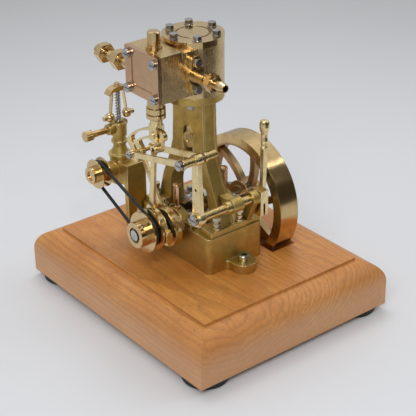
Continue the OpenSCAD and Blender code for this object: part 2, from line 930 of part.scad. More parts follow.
module strap_cap(x0, c, p) {
    bolt_x = x0 + strap_w / 2;
    lean(c, p) {
        strap_half(x0, false);
        for (s = [-1, 1])
            translate([bolt_x, s * strap_bolt_y, 0]) {
                rod_z(-ear_h - gap, ear_h + gap, strap_bolt_r);
                hex_z(-ear_h - 1.6, -ear_h - gap, 1.7);
                hex_z(ear_h + gap, ear_h + 1.6, 1.7);
            }
    }
}

module ahead_rod() {
    color(BRASS) engine() eccentric_rod(ahead_x, ahead_x, ahead_c, ahead_p);
}

module astern_rod() {
    color(BRASS) engine() eccentric_rod(astern_x, -27.1, astern_c, astern_p);
}

module ahead_strap_cap() {
    color(BRASS) engine() strap_cap(ahead_x, ahead_c, ahead_p);
}

module astern_strap_cap() {
    color(BRASS) engine() strap_cap(astern_x, astern_c, astern_p);
}

big_x0 = -8.9;
big_w = 5.6;
big_bolt_y = 4.9;
big_bolt_r = 0.9;

module big_end_half(z0) {
    difference() {
        translate([big_x0, -big_end_half, z0]) cube([big_w, 2 * big_end_half, big_end_h]);
        rod_x(big_x0 - 1, big_x0 + big_w + 1, shaft_r + run);
        for (s = [-1, 1])
            translate([cyl_x, s * big_bolt_y, 0]) rod_z(-8, 8, big_bolt_r + seat);
    }
}

module connecting_rod() {
    eye_w = 3;
    eye_r = 3.2;
    color(STEEL) engine() at_yz([0, throw]) difference() {
        union() {
            big_end_half(gap);
            translate([cyl_x, 0, big_end_h]) cylinder(h = rod_l - big_end_h - 2, r1 = 1.9, r2 = 1.45);
            at_yz([0, rod_l]) rod_x(cyl_x - eye_w / 2, cyl_x + eye_w / 2, eye_r);
        }
        at_yz([0, rod_l]) rod_x(cyl_x - 3, cyl_x + 3, 1.6);
    }
}

module big_end_cap() {
    color(BRASS) engine() at_yz([0, throw]) big_end_half(-big_end_h - gap);
}

module big_end_bolts() {
    color(STEEL) engine() at_yz([0, throw]) for (s = [-1, 1])
        translate([cyl_x, s * big_bolt_y, 0]) {
            rod_z(-big_end_h - 1, big_end_h + 1, big_bolt_r);
            hex_z(-big_end_h - 1.5, -big_end_h - 2 * gap, 1.7);
            hex_z(big_end_h + 2 * gap, big_end_h + 1.5, 1.7);
        }
}

module crosshead() {
    cheek_t = 1.1;
    cheek_half = 3.4;
    bridge_z = 61.5;
    cheek_x = [col_x0 + wall + 0.1, col_x1 - wall - 0.1 - cheek_t];
    boss_x = [col_x0 + 0.1, col_x1 - wall - 0.1 - bite];
    color(BRASS) engine() difference() {
        union() {
            for (x = cheek_x) translate([x, -cheek_half, pin_top - 4])
                cube([cheek_t, 2 * cheek_half, bridge_z - pin_top + 4 + bite]);
            for (x = boss_x) at_yz([0, pin_top]) rod_x(x, x + wall + bite, slot_half - 0.1);
            translate([cheek_x[0], -cheek_half, bridge_z])
                cube([cheek_x[1] + cheek_t - cheek_x[0], 2 * cheek_half, 3]);
        }
        translate([cyl_x, 0, 0]) rod_z(60, 66, piston_rod_r + seat);
        at_yz([0, pin_top]) rod_x(-11, col_x0 + 0.6, 2.2);
    }
}

piston_h = 7;
piston_z = barrel_z1 - 2 - piston_h;

module piston_rod() {
    color(STEEL) engine() translate([cyl_x, 0, 0]) rod_z(61.6, piston_z + piston_h - 1, piston_rod_r);
}

module piston() {
    color(BRASS) engine() translate([cyl_x, 0, 0]) difference() {
        rod_z(piston_z, piston_z + piston_h, bore_r - run);
        for (z = [piston_z + 1.5, piston_z + 4.3])
            difference() {
                rod_z(z, z + 1.2, bore_r + 1);
                rod_z(z - 1, z + 2, bore_r - 0.8);
            }
        rod_z(piston_z - 1, piston_z + piston_h - 1 + gap, piston_rod_r + seat);
    }
}

// Valve gear ------------------------------------------------------------------------------

module valve_spindle() {
    color(STEEL) engine() translate([valve_x, 0, 0]) rod_z(58, 102, spindle_r);
}

cheek_z0 = 48.9;
fork_top = 60.6;

module valve_fork() {
    cheek_t = 1.2;
    half = 2.9;
    fork_x = [-32.6, -28.6];
    bridge_z = die_p[1] + band_w + 0.4;
    color(BRASS) engine() difference() {
        union() {
            for (x = fork_x)
                translate([x, -half, cheek_z0]) cube([cheek_t, 2 * half, bridge_z - cheek_z0 + bite]);
            translate([fork_x[0], -half, bridge_z]) cube([fork_x[1] + cheek_t - fork_x[0], 2 * half, 2.4]);
            translate([valve_x, 0, 0]) rod_z(bridge_z + 2.3, fork_top, 3.1);
            at_yz(die_p) {
                rod_x(fork_x[0] - 0.6, fork_x[0] + bite, 1.8);
                rod_x(fork_x[1] + cheek_t - bite, fork_x[1] + cheek_t + 0.5, 1.8);
                rod_x(fork_x[0], fork_x[1] + cheek_t, pin_r);
            }
        }
        translate([valve_x, 0, 0]) rod_z(58 - gap, 66, spindle_r + seat);
    }
}

module die_block() {
    half_a = 2.6;
    color(STEEL) engine() difference() {
        at_yz(link_c) plate_x(link_x0, link_t)
            ring_sector(link_r - slot_w + run, link_r + slot_w - run, die_a - half_a, die_a + half_a);
        at_yz(die_p) rod_x(link_x0 - 1, link_x0 + link_t + 1, pin_r + seat);
    }
}

module slide_valve() {
    block_half = 5.3;
    block_z = valve_z + 1.35;
    color(BRASS) engine() difference() {
        union() {
            translate([-27, -6, block_z - block_half]) cube([port_x + 27 - 2 * gap, 12, 2 * block_half]);
            translate([valve_x - 2.4, -2.6, block_z - 2.5]) cube([-27 - valve_x + 2.5, 5.2, 5]);
        }
        translate([valve_x, 0, 0]) rod_z(block_z - 5, block_z + 5, spindle_r + seat);
        translate([port_x - 2, -4.6, block_z - 3.6]) cube([3, 9.2, 7.2]);
    }
}

module expansion_link() {
    band_a0 = 0;
    band_a1 = 49;
    slot_a0 = 4;
    slot_a1 = 43.5;
    color(BRASS) engine() {
        difference() {
            plate_x(link_x0, link_t) {
                translate(link_c) ring_sector(link_r - band_w, link_r + band_w, band_a0, band_a1);
                translate(polar(band_a0, link_r)) circle(band_w);
                translate(polar(band_a1, link_r)) circle(band_w);
                bar(polar(2.5, link_r - band_w + 1), ahead_p, 4.2);
                bar(polar(band_a1, link_r - 1), astern_p, 4.2);
                bar(polar(40.6, link_r - band_w + 1), drag_p, 4.2);
            }
            plate_x(link_x0 - 1, link_t + 2) {
                translate(link_c) ring_sector(link_r - slot_w, link_r + slot_w, slot_a0, slot_a1);
                translate(polar(slot_a0, link_r)) circle(slot_w);
                translate(polar(slot_a1, link_r)) circle(slot_w);
            }
        }
        at_yz(ahead_p) rod_x(ahead_x + 1.6, link_x0 + bite, 1.5);
        at_yz(astern_p) rod_x(link_x0 + link_t - bite, -27.2, 1.5);
        at_yz(drag_p) rod_x(front_drag_x + drag_t + 0.1, link_x0 + bite, 1.2);
        at_yz(drag_p) rod_x(link_x0 + link_t - bite, rear_drag_x - 0.1, 1.2);
    }
}

module weighshaft() {
    collar_r = 3.3;
    color(BRASS) engine() at_yz(shaft_p) {
        rod_x(weighshaft_x0, 15.6, weighshaft_r);
        rod_x(-10.6, -7.6, collar_r);
    }
}

module lifting_arm() {
    color(BRASS) engine() difference() {
        union() {
            plate_x(arm_x, arm_t) {
                taper(shaft_p, lift_p, 6.4, 4.6);
                translate(shaft_p) circle(4.2);
                translate(lift_p) circle(3);
            }
            at_yz(shaft_p) rod_x(arm_x - 1, arm_x + arm_t + 1.2, 3.6);
            at_yz(lift_p) rod_x(arm_x - 1, arm_x + arm_t + 1.2, 2.9);
        }
        at_yz(shaft_p) rod_x(-40, -20, weighshaft_r + seat);
        at_yz(lift_p) rod_x(-40, -20, lift_pin_r + seat);
        at_yz((shaft_p + lift_p) / 2) rod_x(-40, -20, 0.8);
    }
}

module lifting_pin() {
    color(BRASS) engine() at_yz(lift_p) {
        rod_x(lift_pin_x0, lift_pin_x1, lift_pin_r);
        rod_x(front_drag_x + drag_t + 0.15, arm_x - 1 - gap, lift_collar_r);
        rod_x(rear_drag_x + drag_t + 0.15, lift_pin_x1, lift_collar_r);
    }
}

module end_screw(x0, x1, r, slot_at) {
    difference() {
        rod_x(x0, x1, r);
        translate([slot_at - 0.4, -r - 1, -0.3]) cube([0.8, 2 * r + 2, 0.6]);
    }
}

module shaft_end_screws() {
    color(STEEL) engine() {
        at_yz(lift_p) end_screw(lift_pin_x0 - 1.6, lift_pin_x0 - gap, 2.5, lift_pin_x0 - 1.6);
        at_yz(shaft_p) end_screw(weighshaft_x0 - 1.2, weighshaft_x0 - gap, 2.7, weighshaft_x0 - 1.2);
    }
}

module reversing_lever() {
    clamp_x0 = 10.2;
    clamp_w = 5;
    clamp_half = 3.4;
    clamp_top = shaft_p[1] + 3.6;
    jaw_t = 1.9;
    jaw_drop = 10.6;
    bar_x = 15.4;
    handle_z = 41.6;
    color(BRASS) engine() difference() {
        union() {
            translate([clamp_x0, shaft_p[0] - clamp_half, shaft_p[1] - 3.6])
                cube([clamp_w, 2 * clamp_half, 7.2]);
            for (x = [clamp_x0, clamp_x0 + clamp_w - jaw_t])
                translate([x, shaft_p[0] - clamp_half, shaft_p[1] - jaw_drop])
                    cube([jaw_t, 2 * clamp_half, jaw_drop - 3.5]);
            translate([0, lift_p[0] + 1.3, 0]) rotate([90, 0, 0]) linear_extrude(2.6)
                taper([bar_x - 0.8, clamp_top - 1], [bar_x, handle_z + 0.3], 2.1, 2.8);
            translate([bar_x, lift_p[0], handle_z]) rotate_extrude() polygon([
                [0, 0], [2.1, 0], [2.1, 0.9], [1.6, 1.5], [1.6, 2.2], [2, 2.8], [2.1, 4.4], [1.8, 6.4],
                [1.8, 8], [2.4, 10.4], [2.7, 12], [2.6, 13.6], [2.2, 14.9], [1.6, 15.4], [0, 15.4]
            ]);
        }
        at_yz(shaft_p) rod_x(clamp_x0 - 1, clamp_x0 + clamp_w + 1, weighshaft_r + seat);
    }
}

drag_ends = [front_drag_x, rear_drag_x];

module drag_links() {
    color(BRASS) engine() for (x = drag_ends) difference() {
        plate_x(x, drag_t) {
            taper(lift_p, drag_p, 3.4, 2.8);
            translate(lift_p) circle(2.8);
            translate(drag_p) circle(2.4);
        }
        at_yz(lift_p) rod_x(x - 1, x + drag_t + 1, lift_pin_r + run);
        at_yz(drag_p) rod_x(x - 1, x + drag_t + 1, pin_r);
    }
}

module drag_link_screws() {
    color(STEEL) engine() at_yz(drag_p) {
        rod_x(front_drag_x - 0.1, front_drag_x + drag_t, pin_r - seat);
        end_screw(front_drag_x - 1.4, front_drag_x - gap, 2, front_drag_x - 1.4);
        rod_x(rear_drag_x, rear_drag_x + drag_t + 0.1, pin_r - seat);
        end_screw(rear_drag_x + drag_t + gap, rear_drag_x + drag_t + 1.4, 2, rear_drag_x + drag_t + 1.4);
    }
}

// Governor --------------------------------------------------------------------------------

module at_governor() {
    engine() translate([gov_x, gov_y, 0]) children();
}

house_r = 5.6;
neck_r = 3.4;
head_z0 = 35.6;
head_z1 = 43.4;

module governor_frame() {
    plate_y = bed_l / 2 + gap;
    color(BRASS) engine() difference() {
        union() {
            translate([gov_x, gov_y, 0]) {
                rod_z(8.6, 24, house_r);
                rod_z(24, 25.4, house_r + 0.6);
                translate([0, 0, 25.4 - bite]) cylinder(h = 4, r1 = house_r - 0.8, r2 = neck_r);
                rod_z(29, head_z0, neck_r);
                rod_z(31.6, 32.8, neck_r + 1);
                rod_z(head_z0, head_z1 - 1, 4.2);
                rod_z(head_z1 - 1, head_z1, 4.8);
                at_yz([0, gov_pulley_z]) rod_x(-10.6, 0, 4.4);
                at_yz([0, knob_z]) rod_x(-7.4, 0, 3);
            }
            translate([-29, plate_y, -13]) cube([12, 3, 36]);
            translate([-21, plate_y, -13]) cube([14.4, 3, 11]);
            translate([-28, plate_y + 2.9, 10]) cube([8, gov_y - plate_y - 6, 12]);
        }
        translate([gov_x, gov_y, 0]) {
            rod_z(12, 23, 4.1);
            rod_z(20, 50, gov_spindle_r + run);
            at_yz([0, gov_pulley_z]) rod_x(-4.6, 0, 3.7);
            at_yz([0, gov_pulley_z]) rod_x(-12, 0, gov_shaft_r + run);
            at_yz([0, knob_z]) rod_x(-9, -2.6, 1.2 + run);
        }
        for (x = gov_bolt_x) translate([x, 0, gov_bolt_z]) rod_y(20, 40, bolt_r + seat);
    }
}

module governor_pulley() {
    half = 2.6;
    dx = belt_x - gov_x;
    color(BRASS) at_governor() at_yz([0, gov_pulley_z]) {
        difference() {
            union() {
                pulley_wheel(dx, half, 8.1, gov_belt_r - belt_r - 0.2);
                rod_x(dx - half - 3.4, dx - half + bite, 4.6);
            }
            rod_x(dx - half - 5, dx - half - 2.6, 2.6);
        }
        rod_x(dx, -1.7, gov_shaft_r);
        translate([-3.2, 0, 0]) rotate([0, 90, 0]) cylinder(h = 1.6, r1 = 3.1, r2 = 1.5);
    }
}

module governor_spindle() {
    apex = gov_pulley_z;
    color(STEEL) at_governor() {
        rod_z(apex + 1.7, cap_z + 1, gov_spindle_r);
        translate([0, 0, apex + 1.6]) cylinder(h = 1.6, r1 = 1.5, r2 = 3.1);
        rod_z(head_z1 + 0.1, head_z1 + 1, 2.2);
    }
}

cap_z = 61.2;
coil_r = 1.3;
coil_wire = 0.33;
coil_z0 = head_z1 + 1.4;
coil_z1 = cap_z - 0.4;

// Point i of a spring's centre line with n points, and its wire's cross-section there
function coil_point(i, n) = let (t = i / n, a = 360 * coil_turns * t)
    [coil_r * cos(a), coil_r * sin(a), coil_z0 + (coil_z1 - coil_z0) * t];
function coil_ring(i, n, k) = let (c = coil_point(i, n), a = 360 * coil_turns * i / n)
    [for (j = [0:k - 1]) let (b = 360 * j / k)
        c + coil_wire * [cos(b) * cos(a), cos(b) * sin(a), sin(b)]];

module governor_coil() {
    n = coil_turns * 12;
    k = 5;
    points = [for (i = [0:n], p = coil_ring(i, n, k)) p];
    sides = [for (i = [0:n - 1], j = [0:k - 1])
        [i * k + j, (i + 1) * k + j, (i + 1) * k + (j + 1) % k, i * k + (j + 1) % k]];
    first = [for (j = [0:k - 1]) j];
    last = [for (j = [k - 1:-1:0]) n * k + j];
    color(STEEL) at_governor() polyhedron(points, concat([first], sides, [last]));
}

leaf_half = 1.1;
leaf_top = cap_z + 0.6;
leaf_foot = weight_z + 1.6;

// Two flat springs that hang from the cap, one to each weight
module governor_springs() {
    color(BRASS) at_governor() for (s = [0, 180]) rotate([0, 0, s])
        translate([0, leaf_half, 0]) rotate([90, 0, 0]) linear_extrude(2 * leaf_half)
            polygon([[3.2, leaf_top], [3.9, leaf_top], [3.9, 60], [4.4, 56], [4.9, 52], [5.3, leaf_foot],
                [4.7, leaf_foot], [4.3, 52], [3.8, 56], [3.2, 60]]);
}

module governor_weights() {
    color(BRASS) at_governor() for (s = [0, 180]) rotate([0, 0, s]) translate([weight_off, 0, weight_z]) {
        difference() {
            union() {
                rotate([0, 90, 0]) sphere(weight_r);
                rod_x(weight_r - 0.8, weight_r + 1.4, 1.3);
            }
            translate([-0.95, -leaf_half - gap, leaf_foot - weight_z - gap])
                cube([0.9, 2 * (leaf_half + gap), weight_r]);
        }
    }
}

// Yoke on top of the spindle, with an ear that droops over each spring
module governor_cap() {
    half = 2.3;
    color(BRASS) at_governor() difference() {
        union() {
            translate([0, half, 0]) rotate([90, 0, 0]) linear_extrude(2 * half)
                polygon([[-6.8, 59.9], [-6.1, 59.5], [-4.5, cap_z], [4.5, cap_z], [6.1, 59.5], [6.8, 59.9],
                    [5, 62.4], [2.4, 63.5], [-2.4, 63.5], [-5, 62.4]]);
            rod_z(63, 64.4, 1.9);
            rod_z(64.4 - bite, 65.2, 1.3);
        }
        rod_z(60, cap_z + 1 + gap, gov_spindle_r + seat);
        for (s = [-1, 1])
            translate([s * 3.55 - 0.4, -leaf_half - gap, cap_z - 1])
                cube([0.8, 2 * (leaf_half + gap), 1.6 + gap]);
    }
}

module speed_knob() {
    flute_count = 12;
    color(BRASS) at_governor() at_yz([0, knob_z]) difference() {
        union() {
            rod_x(-7.6, -2.8, 1.2);
            rod_x(-17.4, -7.5, 1.7);
            rod_x(-21.6, -17.4, 2.8);
        }
        for (i = [0:flute_count - 1]) rotate([360 * i / flute_count, 0, 0])
            at_yz([3, 0]) rod_x(-23, -17.8, 0.4);
    }
}

// Round belt: two arcs and two straight runs
module drive_belt() {
    c2 = [gov_y, gov_pulley_z];
    phi = atan2(c2[1], c2[0]);
    beta = asin((crank_belt_r - gov_belt_r) / norm(c2));
    color(RUBBER) engine() translate([belt_x, 0, 0]) rotate([90, 0, 90]) {
        rotate(phi + 90 - beta) rotate_extrude(angle = 180 + 2 * beta)
            translate([crank_belt_r, 0]) circle(belt_r);
        translate(c2) rotate(phi - 90 + beta) rotate_extrude(angle = 180 - 2 * beta)
            translate([gov_belt_r, 0]) circle(belt_r);
        for (s = [-1, 1]) {
            a = phi + s * (90 - beta);
            p = crank_belt_r * [cos(a), sin(a)];
            d = c2 + gov_belt_r * [cos(a), sin(a)] - p;
            translate(p) rotate(atan2(d[1], d[0])) rod_x(-0.3, norm(d) + 0.3, belt_r - 0.01);
        }
    }
}

base_board();
rubber_feet();
bedplate();
bed_screws();
column();
stud_nuts();
main_bushes();
bearing_caps();
oil_cups();
cylinder_node();  // cylinder
cylinder_cover();
cover_bolts();
hex_bolts();
steam_chest();
chest_cover();
chest_cover_bolts();
gland_nuts();
tail_guide();
exhaust_pipe();
inlet_pipe();
union_nuts();
weighshaft_brackets();
governor_frame();
drive_belt();
crankshaft();
flywheel();
crank_pulley();
grub_screws();
eccentric_sheaves();
ahead_liner();
astern_liner();
ahead_rod();
ahead_strap_cap();
astern_rod();
astern_strap_cap();
connecting_rod();
big_end_cap();
big_end_bolts();
crosshead();
piston_rod();
piston();
valve_spindle();
valve_fork();
die_block();
slide_valve();
expansion_link();
weighshaft();
lifting_arm();
lifting_pin();
shaft_end_screws();
reversing_lever();
drag_links();
drag_link_screws();
governor_pulley();
governor_spindle();
governor_coil();
governor_springs();
governor_weights();
governor_cap();
speed_knob();
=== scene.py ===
"""Looks of the model steam engine: a material for every CAD piece, and a pale studio."""
import json
import math

import bmesh
import bpy
from mathutils import Matrix, Vector


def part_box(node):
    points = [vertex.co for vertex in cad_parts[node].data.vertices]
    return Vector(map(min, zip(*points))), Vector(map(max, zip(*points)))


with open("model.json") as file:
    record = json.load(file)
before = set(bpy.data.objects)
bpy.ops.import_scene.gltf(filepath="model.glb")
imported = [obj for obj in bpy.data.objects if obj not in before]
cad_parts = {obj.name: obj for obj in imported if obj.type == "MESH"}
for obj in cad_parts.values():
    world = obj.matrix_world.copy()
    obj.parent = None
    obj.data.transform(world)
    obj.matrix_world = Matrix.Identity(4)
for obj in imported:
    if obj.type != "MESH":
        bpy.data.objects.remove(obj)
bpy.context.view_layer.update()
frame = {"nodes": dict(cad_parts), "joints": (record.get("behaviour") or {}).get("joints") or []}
nodes = frame["nodes"]
MM = 0.001

# Wear, painted edge highlights, painted shade and grime in corners, and tool marks; lengths are in
# millimetres
WEAR_AND_HIGHLIGHT_COSINES = 0.995, 0.9       # cosine of the bevel's tilt where the edge wear and painted highlight start and are full
SHADE_AND_GRIME_OPENNESS = 0.62, 0.18     # share of open sky at which the painted shade and grime start and are full
SHADE_AND_GRIME_REACH = 2.5
PATCH_SIZE = 5.0                # patches of tarnish
TOOL_MARKS_PER_MM = 6.0         # rings on turned pieces
BRUSH_TURN = 0.25               # turn of the gloss, which lays it across the marks
NEVER_ZERO = 0.01, 0, 0         # keeps the tangent of a level face from vanishing
RIM_DEPTH = 4.5                 # depth of the flywheel's rim, the part left bright

# The wood; lengths are in millimetres
PITH_X, PITH_Z = -30.0, 66.0            # where the growth rings are centred
PITH_SWAY_X, PITH_SWAY_Z = 22.0, 14.0   # how far the pith wanders along the board
GROWTH_RINGS_PER_MM = 0.33
PALE_FROM, PALE_TO = 30.5, 8.0          # heights between which the sides turn paler: a painted reflection of the pale floor

AXES = {"X": (1, 0, 0), "Y": (0, 1, 0), "Z": (0, 0, 1)}

# Shader inputs whose names are not plain capitalised words
INPUTS = {"ior": "IOR", "specular_ior_level": "Specular IOR Level"}

joints = {j["name"]: j for j in frame["joints"]}


def centre(node):
    """The middle of a node's box, in millimetres."""
    lo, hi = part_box(node)
    return (lo + hi) / 2 / MM


def pivot(joint):
    """A point on a turning joint's axis, in millimetres."""
    return Vector(joints[joint]["pos_m"]) / MM


CRANK = pivot("crank_turn")
WEIGHSHAFT = pivot("reversing_lever_swing")
GOVERNOR = pivot("governor_turn")
GOV_PULLEY = pivot("governor_pulley_turn")


# Node graphs ------------------------------------------------------------------------------

class Graph:
    """A node graph, emptied, with short calls for the nodes used here."""

    def __init__(self, owner):
        owner.use_nodes = True
        self.tree = owner.node_tree
        self.tree.nodes.clear()
        self.coords = self.add("ShaderNodeTexCoord")

    def add(self, kind, **props):
        node = self.tree.nodes.new(kind)
        for key, value in props.items():
            setattr(node, key, value)
        return node

    def put(self, socket, value):
        if isinstance(value, bpy.types.NodeSocket):
            self.tree.links.new(value, socket)
        elif value is not None:
            if socket.type == "RGBA" and len(value) == 3:
                value = (*value, 1)
            socket.default_value = value

    def num(self, op, a, b=None, c=None, clamp=False):
        node = self.add("ShaderNodeMath", operation=op, use_clamp=clamp)
        for socket, value in zip(node.inputs, (a, b, c)):
            self.put(socket, value)
        return node.outputs[0]

    def vec(self, op, a, b=None, scale=None):
        node = self.add("ShaderNodeVectorMath", operation=op)
        self.put(node.inputs[0], a)
        self.put(node.inputs[1], b)
        if scale is not None:
            self.put(node.inputs["Scale"], scale)
        return node.outputs["Value" if op in ("LENGTH", "DOT_PRODUCT") else "Vector"]

    def split(self, v):
        node = self.add("ShaderNodeSeparateXYZ")
        self.put(node.inputs[0], v)
        return node.outputs[0], node.outputs[1], node.outputs[2]

    def hypot(self, a, b):
        squares = self.num("MULTIPLY", a, a), self.num("MULTIPLY", b, b)
        return self.num("SQRT", self.num("ADD", *squares))

    def join(self, x, y, z):
        node = self.add("ShaderNodeCombineXYZ")
        for socket, value in zip(node.inputs, (x, y, z)):
            self.put(socket, value)
        return node.outputs[0]

    def noise(self, v, scale=1.0, detail=2.0, rough=0.5, bend=0.0):
        node = self.add("ShaderNodeTexNoise")
        self.put(node.inputs["Vector"], v)
        settings = {"Scale": scale, "Detail": detail, "Roughness": rough, "Distortion": bend}
        for key, value in settings.items():
            self.put(node.inputs[key], value)
        return node.outputs[0]

    def cells(self, v, scale=1.0):
        node = self.add("ShaderNodeTexVoronoi")
        self.put(node.inputs["Vector"], v)
        self.put(node.inputs["Scale"], scale)
        return node.outputs["Distance"]

    def fit(self, value, lo, hi, out_lo=0.0, out_hi=1.0, smooth=False):
        curve = "SMOOTHSTEP" if smooth else "LINEAR"
        node = self.add("ShaderNodeMapRange", interpolation_type=curve)
        for socket, x in zip(node.inputs, (value, lo, hi, out_lo, out_hi)):
            self.put(socket, x)
        return node.outputs[0]

    def mix(self, t, a, b):
        node = self.add("ShaderNodeMix", data_type="RGBA")
        self.put(node.inputs[0], t)
        self.put(node.inputs[6], a)
        self.put(node.inputs[7], b)
        return node.outputs[2]


class Material(Graph):
    """A Principled material. Its point p is in the row frame, in millimetres."""

    def __init__(self, name):
        self.mat = bpy.data.materials.new(name)
        super().__init__(self.mat)
        self.shader = self.add("ShaderNodeBsdfPrincipled")
        out = self.add("ShaderNodeOutputMaterial")
        self.put(out.inputs[0], self.shader.outputs[0])
        self.p = self.vec("SCALE", self.coords.outputs["Object"], scale=1 / MM)
        self.normal = self.add("ShaderNodeNewGeometry").outputs["Normal"]

    def bevel(self, radius):
        node = self.add("ShaderNodeBevel", samples=4)
        node.inputs["Radius"].default_value = radius * MM
        return node.outputs[0]

    def edge_wear_and_highlight(self, rounded):
        """1 along sharp edges, 0 elsewhere: the mask of edge wear and painted highlight."""
        return self.fit(self.vec("DOT_PRODUCT", rounded, self.normal), *WEAR_AND_HIGHLIGHT_COSINES)

    def crevice(self, reach):
        """1 deep in corners and gaps, 0 in the open; reach in millimetres."""
        node = self.add("ShaderNodeAmbientOcclusion", samples=6)
        node.inputs["Distance"].default_value = reach * MM
        return self.fit(node.outputs["AO"], *SHADE_AND_GRIME_OPENNESS)

    def bump(self, height, depth, base=None):
        """Height 0 to 1 stands depth millimetres proud."""
        node = self.add("ShaderNodeBump")
        node.inputs["Distance"].default_value = depth * MM
        self.put(node.inputs["Height"], height)
        self.put(node.inputs["Normal"], base)
        return node.outputs[0]

    def brushed(self, tangent, amount):
        """Smear the reflections across the tangent."""
        self.finish(tangent=self.vec("NORMALIZE", tangent), anisotropic=amount,
                    anisotropic_rotation=BRUSH_TURN)

    def finish(self, **inputs):
        """Set inputs of the shader by name and return the material."""
        for key, value in inputs.items():
            label = INPUTS.get(key) or key.replace("_", " ").title()
            self.put(self.shader.inputs[label], value)
        return self.mat


def radial(g, origin, axis):
    """Distance along an axis, distance from it, and the vector from its origin."""
    d = g.vec("SUBTRACT", g.p, tuple(origin))
    parts = list(g.split(d))
    along = parts.pop("XYZ".index(axis))
    return along, g.hypot(*parts), d


def metal(name, bright, dark, rough, turned=None, milled=None, grain=0.0, marks=0.02,
          stain=0.25, edge=0.3, edge_colour=None, upright=False, inside=None):
    """A metal face: patches of tarnish, tool marks or casting grain, brighter edges that are worn
    and carry a painted highlight, and painted shade with grime in corners and gaps.

    turned is the origin and axis of a turned piece, and milled the fineness of straight marks
    along x, y and z. grain and marks are depths and edge a radius, in millimetres; stain is
    the strength of the dark patches. upright smears the reflections of every vertical face up
    and down, as level brushing does. Below the radius inside, a turned piece is left dull.
    """
    g = Material(name)
    patches = g.noise(g.p, 1 / PATCH_SIZE, detail=4, rough=0.6, bend=0.4)
    spots = g.noise(g.p, 2.3, detail=3, rough=0.6)
    shade = g.fit(g.num("MULTIPLY_ADD", spots, 0.35, patches), 0.45, 0.95)
    colour = g.mix(g.num("MULTIPLY", shade, stain), bright, dark)
    rounded = g.bevel(edge)
    wear_and_highlight = g.edge_wear_and_highlight(rounded)
    surface = rounded
    gloss = g.fit(patches, 0.3, 0.75, rough * 0.75, rough * 1.3)
    if turned:
        along, r, d = radial(g, *turned)
        section = g.vec("SCALE", g.join(along, r, 0), scale=TOOL_MARKS_PER_MM)
        rings = g.noise(section, detail=3, rough=0.7)
        surface = g.bump(rings, marks, surface)
        gloss = g.num("MULTIPLY_ADD", g.num("SUBTRACT", rings, 0.5), rough * 0.8, gloss)
        if inside:
            dull = g.fit(r, inside, inside - 1.0)
            colour = g.mix(g.num("MULTIPLY", dull, 0.75), colour, dark)
            gloss = g.num("MULTIPLY_ADD", dull, 0.15, gloss)
        axis = AXES[turned[1]]
        g.brushed(g.vec("CROSS_PRODUCT", axis, d), 0.6)
    if upright:
        level = g.vec("CROSS_PRODUCT", AXES["Z"], g.normal)
        g.brushed(g.vec("ADD", level, NEVER_ZERO), 0.85)
    if milled:
        lines = g.noise(g.vec("MULTIPLY", g.p, milled), detail=3, rough=0.65)
        surface = g.bump(lines, marks, surface)
        gloss = g.num("MULTIPLY_ADD", g.num("SUBTRACT", lines, 0.5), rough * 0.9, gloss)
    if grain:
        fine = g.cells(g.p, 2.2)
        lumps = g.noise(g.p, 0.55, detail=3)
        surface = g.bump(fine, grain, g.bump(lumps, grain * 2.5, surface))
        gloss = g.num("MULTIPLY_ADD", fine, 0.12, gloss)
    # Edges: wear and a painted highlight, turned to the brighter edge colour and made glossier
    colour = g.mix(wear_and_highlight, colour, edge_colour or bright)
    gloss = g.num("MULTIPLY_ADD", wear_and_highlight, -0.35 * rough, gloss, clamp=True)
    # Painted shade with grime: corners and gaps darken towards the dark colour and turn rougher
    shade_and_grime = g.num("MULTIPLY", g.crevice(SHADE_AND_GRIME_REACH), g.fit(spots, 0.25, 0.6, 0.55, 0.9))
    colour = g.mix(shade_and_grime, colour, tuple(c * 0.35 for c in dark))
    gloss = g.num("MULTIPLY_ADD", shade_and_grime, 0.3, gloss)
    return g.finish(base_color=colour, metallic=1.0, roughness=gloss, normal=surface)


# Colours, linear
GOLD = (0.74, 0.55, 0.29)
PINK = (0.68, 0.44, 0.27)
DEEP = (0.36, 0.23, 0.09)
SATIN = (0.92, 0.75, 0.41)
CAST = (0.66, 0.485, 0.15)
CAST_DARK = (0.31, 0.21, 0.065)
# Edge colour of the cast brass: wear and a painted highlight
CAST_EDGE = (0.88, 0.72, 0.40)
STEEL = (0.60, 0.59, 0.585)
STEEL_DARK = (0.12, 0.115, 0.11)
BROWN = (0.36, 0.235, 0.12)


